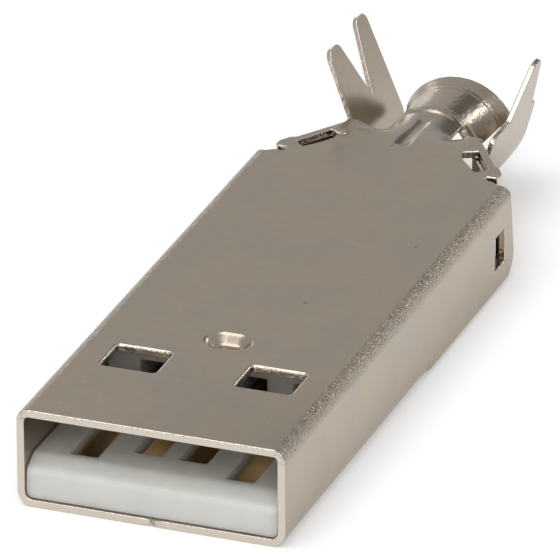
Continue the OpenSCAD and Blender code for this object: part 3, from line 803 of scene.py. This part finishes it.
def nickelPlate(name, bendDents, collarDents, edgeDents):
    board = Board(bpy.data.materials.new(name))
    at = board.place()
    x, y, z = board.parts(at)
    cut = board.node("ShaderNodeAttribute", {"attribute_name": "cut"}, out="Fac")
    cloud = board.noise(at, 0.35, 3.0, 0.55)
    mottle = board.noise(at, 2.2, 4.0, 0.6)
    grain = board.noise(at, 14.0, 3.0, 0.6)
    streaks = board.noise(board.stretch(at, 3.0, 0.25, 3.0), 1.0, 3.0, 0.55)
    dents = board.noise(board.stretch(at, 0.8, 1.0, 0.8), 6.5, 2.0, 0.55)
    colour = board.mix(board.step(cloud, 0.42, 0.62), finishes["nickel"], finishes["nickelCool"])
    # painted shade: the top is darkened towards its front right corner, where it mirrors a darker surround,
    # and the small marks
    front = board.step(x, -3.0, 6.0) * board.step(y, 1.0, 9.0, 1.0, 0.0) * board.step(z, 1.9, 2.1)
    shade = 0.90 + mottle * 0.12 + (grain - 0.5) * 0.08 - front * 0.10
    for spot, reach, depth in finishes["marks"]:
        shade = shade - board.step(board.distance(at, spot), reach * 0.5, reach, 1.0, 0.0) * depth
    tone = board.node("ShaderNodeCombineColor", None, {0: shade, 1: shade, 2: shade})
    onCut = board.step(cut, 0.35, 0.9)
    colour = board.mix(onCut, board.mix(1.0, colour, tone, "MULTIPLY"), finishes["nickelEdge"])
    rough = finishes["nickelRough"] + (mottle - 0.5) * 0.10 + (streaks - 0.5) * 0.06 - onCut * 0.08
    # soft waves all over, and small dents on the upper bends, the collar and the cut edges
    onBend = board.step(abs(x), 5.40, 5.62) * board.step(z, 1.45, 1.75)
    onCollar = board.step(y, 34.2, 34.6) * board.step(z, 0.3, 0.8)
    dented = onBend * bendDents + onCollar * collarDents + onCut * edgeDents
    height = (mottle - 0.5) * 0.10 + (streaks - 0.5) * 0.25 + (dents - 0.5) * dented
    normal = board.bump(height)
    return board.finish({"Base Color": colour, "Metallic": 1.0, "Roughness": rough, "Normal": normal})


def whitePlastic():
    board = Board(bpy.data.materials.new("white_plastic"))
    at = board.place()
    cloud = board.noise(at, 0.8, 3.0, 0.5)
    grain = board.noise(at, 16.0, 3.0, 0.6)
    colour = board.mix(board.step(cloud, 0.35, 0.7), finishes["plastic"], finishes["plasticDeep"])
    rough = 0.42 + (grain - 0.5) * 0.15
    normal = board.bump((grain - 0.5) * 0.3 + (cloud - 0.5) * 0.6)
    return board.finish({"Base Color": colour, "Roughness": rough, "Normal": normal, "Subsurface Weight": 0.7,
                         "Subsurface Radius": (1.0, 0.95, 0.85), "Subsurface Scale": 0.0016})


def goldPlate():
    board = Board(bpy.data.materials.new("gold_plate"))
    at = board.place()
    worn = board.noise(board.stretch(at, 4.0, 0.6, 4.0), 1.5, 4.0, 0.6)
    grain = board.noise(at, 20.0, 2.0, 0.6)
    colour = board.mix(board.step(worn, 0.35, 0.7), finishes["gold"], finishes["goldWorn"])
    rough = 0.34 + (worn - 0.5) * 0.15
    normal = board.bump((grain - 0.5) * 0.06 + (worn - 0.5) * 0.08)
    return board.finish({"Base Color": colour, "Metallic": 1.0, "Roughness": rough, "Normal": normal})


# Studio. Turn is clockwise from the cable end seen from above, lift is the height as an angle.
studio = {
    "floorColour": 0.88, "floorFar": 0.55, "floorLift": 0.25, "floorLiftFar": 0.6, "floorShine": 0.14,
    "floorSize": 1500.0, "nearby": 35, "faraway": 110, "worldLight": 0.55, "middle": (0, 18, 0),
    "azimuth": 20.789, "elevation": 25.248, "roll": -0.325, "distance": 421.048, "aim": (0.514, 14.0, 3.018),
    "lens": 634.66, "sensor": 36.0,
}


def onRay(turn, lift, far):
    a, e = math.radians(turn), math.radians(lift)
    return Vector((math.sin(a) * math.cos(e), math.cos(a) * math.cos(e), math.sin(e))) * far


def grey(value):
    return (value,) * 3


def makePanel(name, width, height, material, level=0.0):
    w, h = width / 2, height / 2
    corners = np.array([(-w, -h, level), (w, -h, level), (w, h, level), (-w, h, level)])
    panel = makeObject(name, corners, [(0, 1, 2, 3)])
    panel.data.materials.append(material)
    return panel


def makeFloor():
    # pale paper that the camera sees as white and that keeps the plug's shadow. Away from the plug it is
    # painted darker, a painted shade of a dimmer far studio, and near the plug it glows for glossy rays, a
    # painted light that the metal mirrors
    board = Board(bpy.data.materials.new("floor_paper"))
    at = board.place()
    under = board.distance(at, (0.0, studio["middle"][1], -top))
    away = board.step(under, studio["nearby"], studio["faraway"])
    fibre = board.step(board.noise(at, 0.8, 4.0, 0.6), 0.3, 0.7)
    near = board.mix(fibre, grey(studio["floorColour"]), grey(studio["floorColour"] * 0.985))
    # painted shade: the paper darkens away from the plug
    colour = board.mix(away, near, grey(studio["floorFar"]))
    inputs = {"Base Color": colour, "Roughness": 0.9, "Specular IOR Level": 0.0}
    paper = board.node("ShaderNodeBsdfPrincipled", None, inputs)
    path = board.node("ShaderNodeLightPath")
    lift = board.mix(away, grey(studio["floorLift"]), grey(studio["floorLiftFar"]))
    lift = board.mix(path["Is Camera Ray"], grey(0.0), lift)
    # painted light: near the plug the paper glows for glossy rays only
    shine = board.mix(away, grey(studio["floorShine"]), grey(0.0))
    lift = board.mix(path["Is Glossy Ray"], lift, shine)
    glow = board.node("ShaderNodeEmission", None, {"Color": lift, "Strength": 1.0})
    both = board.node("ShaderNodeAddShader", None, {0: paper, 1: glow})
    board.node("ShaderNodeOutputMaterial", None, {"Surface": both})
    size = studio["floorSize"] * 2
    floor = makePanel("floor", size, size, board.owner, cadBox[0][2] / mm)


def makeCard(name, turn, lift, far, size, shade):
    # grey card that the metal mirrors, standing out of the frame
    board = Board(bpy.data.materials.new(name))
    fibre = board.noise(board.place(), 0.05, 3.0, 0.5)
    board.finish({"Base Color": board.mix(fibre, grey(shade), grey(shade * 0.9)), "Roughness": 0.9})
    card = makePanel(name, size[0], size[1], board.owner)
    place = onRay(turn, lift, far)
    card.location = (place + Vector(studio["middle"])) * mm
    card.rotation_euler = place.to_track_quat("Z", "Y").to_euler()


def makeWorld():
    world = bpy.data.worlds.new("studio")
    scene.world = world
    board = Board(world)
    path = board.node("ShaderNodeLightPath")
    light = studio["worldLight"]
    soft = board.node("ShaderNodeBackground", None, {"Color": (1, 1, 1, 1), "Strength": light})
    white = board.node("ShaderNodeBackground", None, {"Color": (1, 1, 1, 1), "Strength": 1.0})
    both = board.node("ShaderNodeMixShader", None, {0: path["Is Camera Ray"], 1: soft, 2: white})
    board.node("ShaderNodeOutputWorld", None, {"Surface": both})


def addLamp(name, place, aim, size, power, spin=0.0):
    lamp = bpy.data.lights.new(name, "AREA")
    lamp.shape = "RECTANGLE"
    lamp.size, lamp.size_y = size[0] * mm, size[1] * mm
    lamp.energy = power
    thing = bpy.data.objects.new(name, lamp)
    thing.location = Vector(place) * mm
    turn = (Vector(aim) - Vector(place)).to_track_quat("-Z", "Y").to_matrix()
    thing.rotation_euler = (turn @ Matrix.Rotation(math.radians(spin), 3, "Z")).to_euler()
    scene.collection.objects.link(thing)


def addStrip(name, turn, lift, far, size, power, spin=0.0):
    # lamp on a ray from the middle of the plug
    middle = Vector(studio["middle"])
    addLamp(name, middle + onRay(turn, lift, far), middle, size, power, spin)


def makeCamera():
    az, el, roll = (math.radians(studio[k]) for k in ("azimuth", "elevation", "roll"))
    back = Vector((math.sin(az) * math.cos(el), -math.cos(az) * math.cos(el), math.sin(el)))
    right = Vector((math.cos(az), math.sin(az), 0))
    up = back.cross(right)
    right, up = right * math.cos(roll) + up * math.sin(roll), up * math.cos(roll) - right * math.sin(roll)
    data = bpy.data.cameras.new("camera")
    data.sensor_width, data.lens = studio["sensor"], studio["lens"]
    data.clip_start, data.clip_end = 0.01, 10.0
    camera = bpy.data.objects.new("camera", data)
    place = (Vector(studio["aim"]) + back * studio["distance"]) * mm
    turn = Matrix((right, up, back)).transposed().to_4x4()
    camera.matrix_world = Matrix.Translation(place) @ turn
    scene.collection.objects.link(camera)
    scene.camera = camera


print("outer shell")
pieces = {"outer_shell": buildShell()}
print("clamp tray")
pieces["clamp_tray"] = buildTray()
print("insulator")
pieces["insulator"] = buildInsulator()
print("contacts")
for node, (x0, y0) in contacts["places"].items():
    pieces[node] = buildContact(node, x0, y0)

print("finishes")
gold = goldPlate()
looks = {
    "outer_shell": (nickelPlate("nickel_shell", 6.0, 1.0, 1.5), "nickel"),
    "clamp_tray": (nickelPlate("nickel_tray", 0.0, 0.0, 1.3), "nickel"),
    "insulator": (whitePlastic(), "white_plastic"),
}
for node, piece in pieces.items():
    material, slot = looks.get(node, (gold, "gold"))
    piece.data.materials.clear()
    piece.data.materials.append(material)
    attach(piece, "root")
    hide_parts(node)

print("studio")
makeFloor()
makeWorld()
makeCamera()
makeCard("rear_card", 17, 25, 260, (180, 150), 0.22)
makeCard("low_card", 34, 3.5, 240, (60, 16), 0.10)
addLamp("overheadSoft", (-80, -60, 420), (0, 18, 0), (300, 300), 0.58)
addLamp("frontSoft", (60, -330, 230), (0, 10, 0), (460, 340), 0.68)
addStrip("rearStrip", 25, 20, 225, (16, 110), 0.032, spin=45)
addStrip("rearLeftStrip", -34, 9, 300, (70, 40), 0.018)
scene.view_settings.view_transform = "Standard"

print("done")
